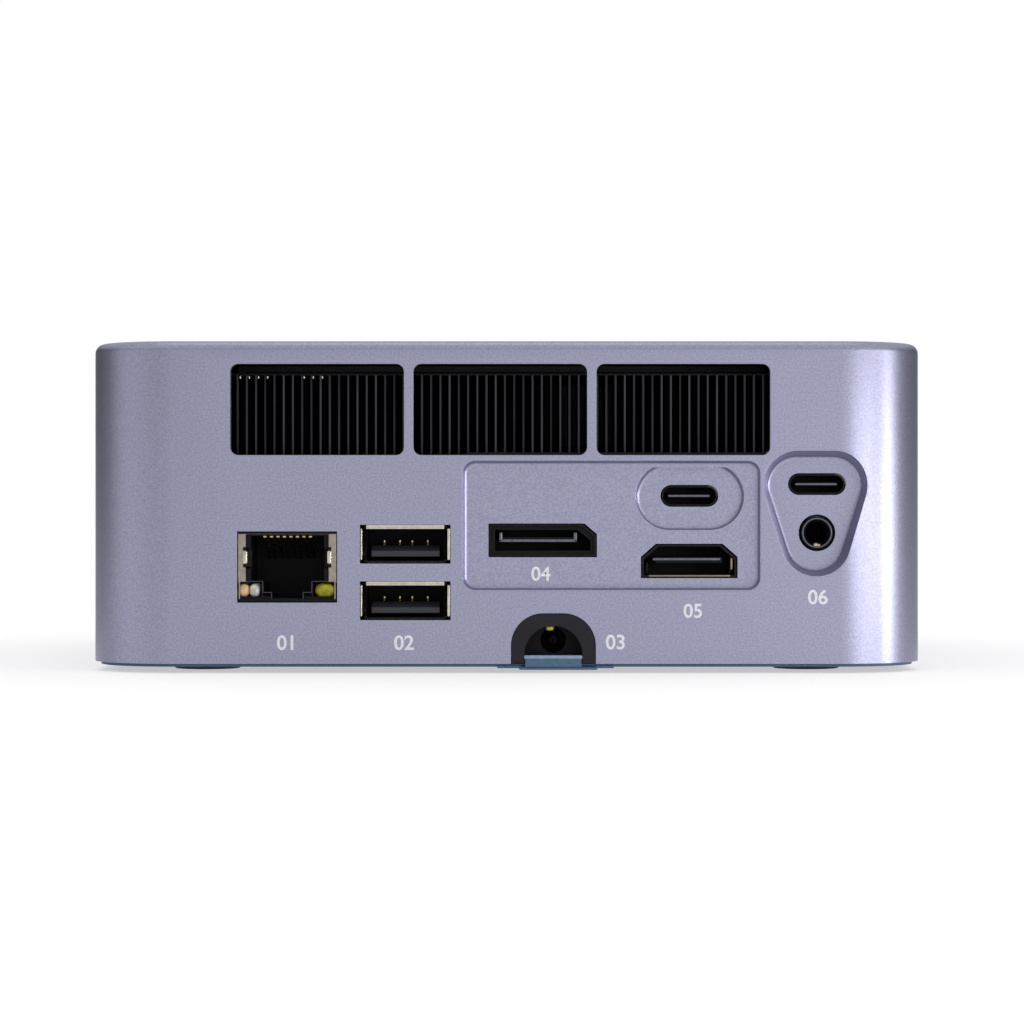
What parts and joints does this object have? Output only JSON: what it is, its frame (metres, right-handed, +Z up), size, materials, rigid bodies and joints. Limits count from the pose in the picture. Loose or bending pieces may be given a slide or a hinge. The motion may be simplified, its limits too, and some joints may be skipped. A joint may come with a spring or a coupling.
{
  "type": "mini pc",
  "caption": "Small square desktop computer with rounded corners: a metal case over a hanging main board, vent windows above a row of sockets, recessed socket panels, fan and power button.",
  "frame": {"origin": "centre of the bounding box at its bottom, on the plane that the feet stand on", "axes": "+Z up; -Y out of the port face; +X to the right for someone who looks at the port face; the power button is on the +Y face"},
  "size_m": [0.135, 0.132, 0.0532],
  "materials": {
    "case_aluminium": "bead-blasted and anodised, fine matt grain",
    "cover_plastic": "moulded, fine spark-eroded texture",
    "foot_rubber": "moulded, matt",
    "screw_black": "blackened steel",
    "screw_steel": "nickel-plated",
    "board_laminate": "glass-epoxy board under solder mask",
    "socket_steel": "nickel-plated sheet",
    "socket_dark": "dark-plated sheet",
    "socket_black": "moulded, semi-matt",
    "contact_gold": "gold-plated springs",
    "lamp_amber": "clear light guide, unlit warm white",
    "lamp_green": "clear light guide, yellow-green",
    "tongue_grey": "moulded insulator",
    "fin_metal": "thin stamped sheet, dull",
    "pipe_copper": "bare copper, slightly tarnished",
    "fan_plastic": "moulded, matt",
    "motor_copper": "wound copper on a steel core",
    "light_pipe": "clear moulded"
  },
  "bodies": {
    "case": {"upper_case": "case_aluminium", "bottom_cover": "cover_plastic", "foot_1": "foot_rubber", "foot_2": "foot_rubber", "foot_3": "foot_rubber", "foot_4": "foot_rubber", "cover_screws": "screw_black", "motherboard": "board_laminate", "board_screws": "screw_steel", "net_shell": "socket_steel", "net_insert": "socket_black", "net_contacts": "contact_gold", "net_lamp_left": "lamp_amber", "net_lamp_right": "lamp_green", "type_a_housing": "socket_black", "type_a_lower_shell": "socket_steel", "type_a_upper_shell": "socket_steel", "type_a_lower_tongue": "tongue_grey", "type_a_upper_tongue": "tongue_grey", "type_a_lower_contacts": "contact_gold", "type_a_upper_contacts": "contact_gold", "display_shell": "socket_dark", "display_insert": "socket_black", "video_shell": "socket_dark", "video_insert": "socket_black", "type_c_left_shell": "socket_dark", "type_c_left_tongue": "socket_black", "type_c_right_shell": "socket_dark", "type_c_right_tongue": "socket_black", "audio_body": "socket_black", "audio_contact": "contact_gold", "inlet_collar": "socket_black", "inlet_body": "socket_black", "inlet_pin": "screw_steel", "inlet_contact": "contact_gold", "fin_stack": "fin_metal", "heat_pipe_left": "pipe_copper", "heat_pipe_right": "pipe_copper", "cold_plate": "pipe_copper", "processor": "board_laminate", "cooler_screws": "screw_steel", "fan_housing": "fan_plastic", "fan_cover": "fan_plastic", "fan_motor": "motor_copper", "memory_socket": "socket_black", "memory_lower": "board_laminate", "memory_upper": "board_laminate", "storage_card": "board_laminate", "radio_card": "board_laminate", "coin_cell": "screw_steel", "power_switch": "socket_black", "lamp_pipe": "light_pipe", "front_type_a_shell": "socket_steel", "front_type_a_tongue": "tongue_grey", "front_type_c_shell": "socket_dark", "front_type_c_tongue": "socket_black"},
    "rotor": {"impeller": "fan_plastic"},
    "button": {"power_button": "case_aluminium"}
  },
  "joints": [
    {"name": "fan_spin", "type": "hinge", "parent": "case", "child": "rotor", "pos_m": [-0.001, -0.006, 0.0375], "axis": [0, 0, 1], "continuous": true},
    {"name": "button_press", "type": "slide", "parent": "case", "child": "button", "axis": [0, -1, 0], "range_m": [0, 0.0008], "stiffness_N_per_m": 400, "springref_m": -0.0005}
  ]
}
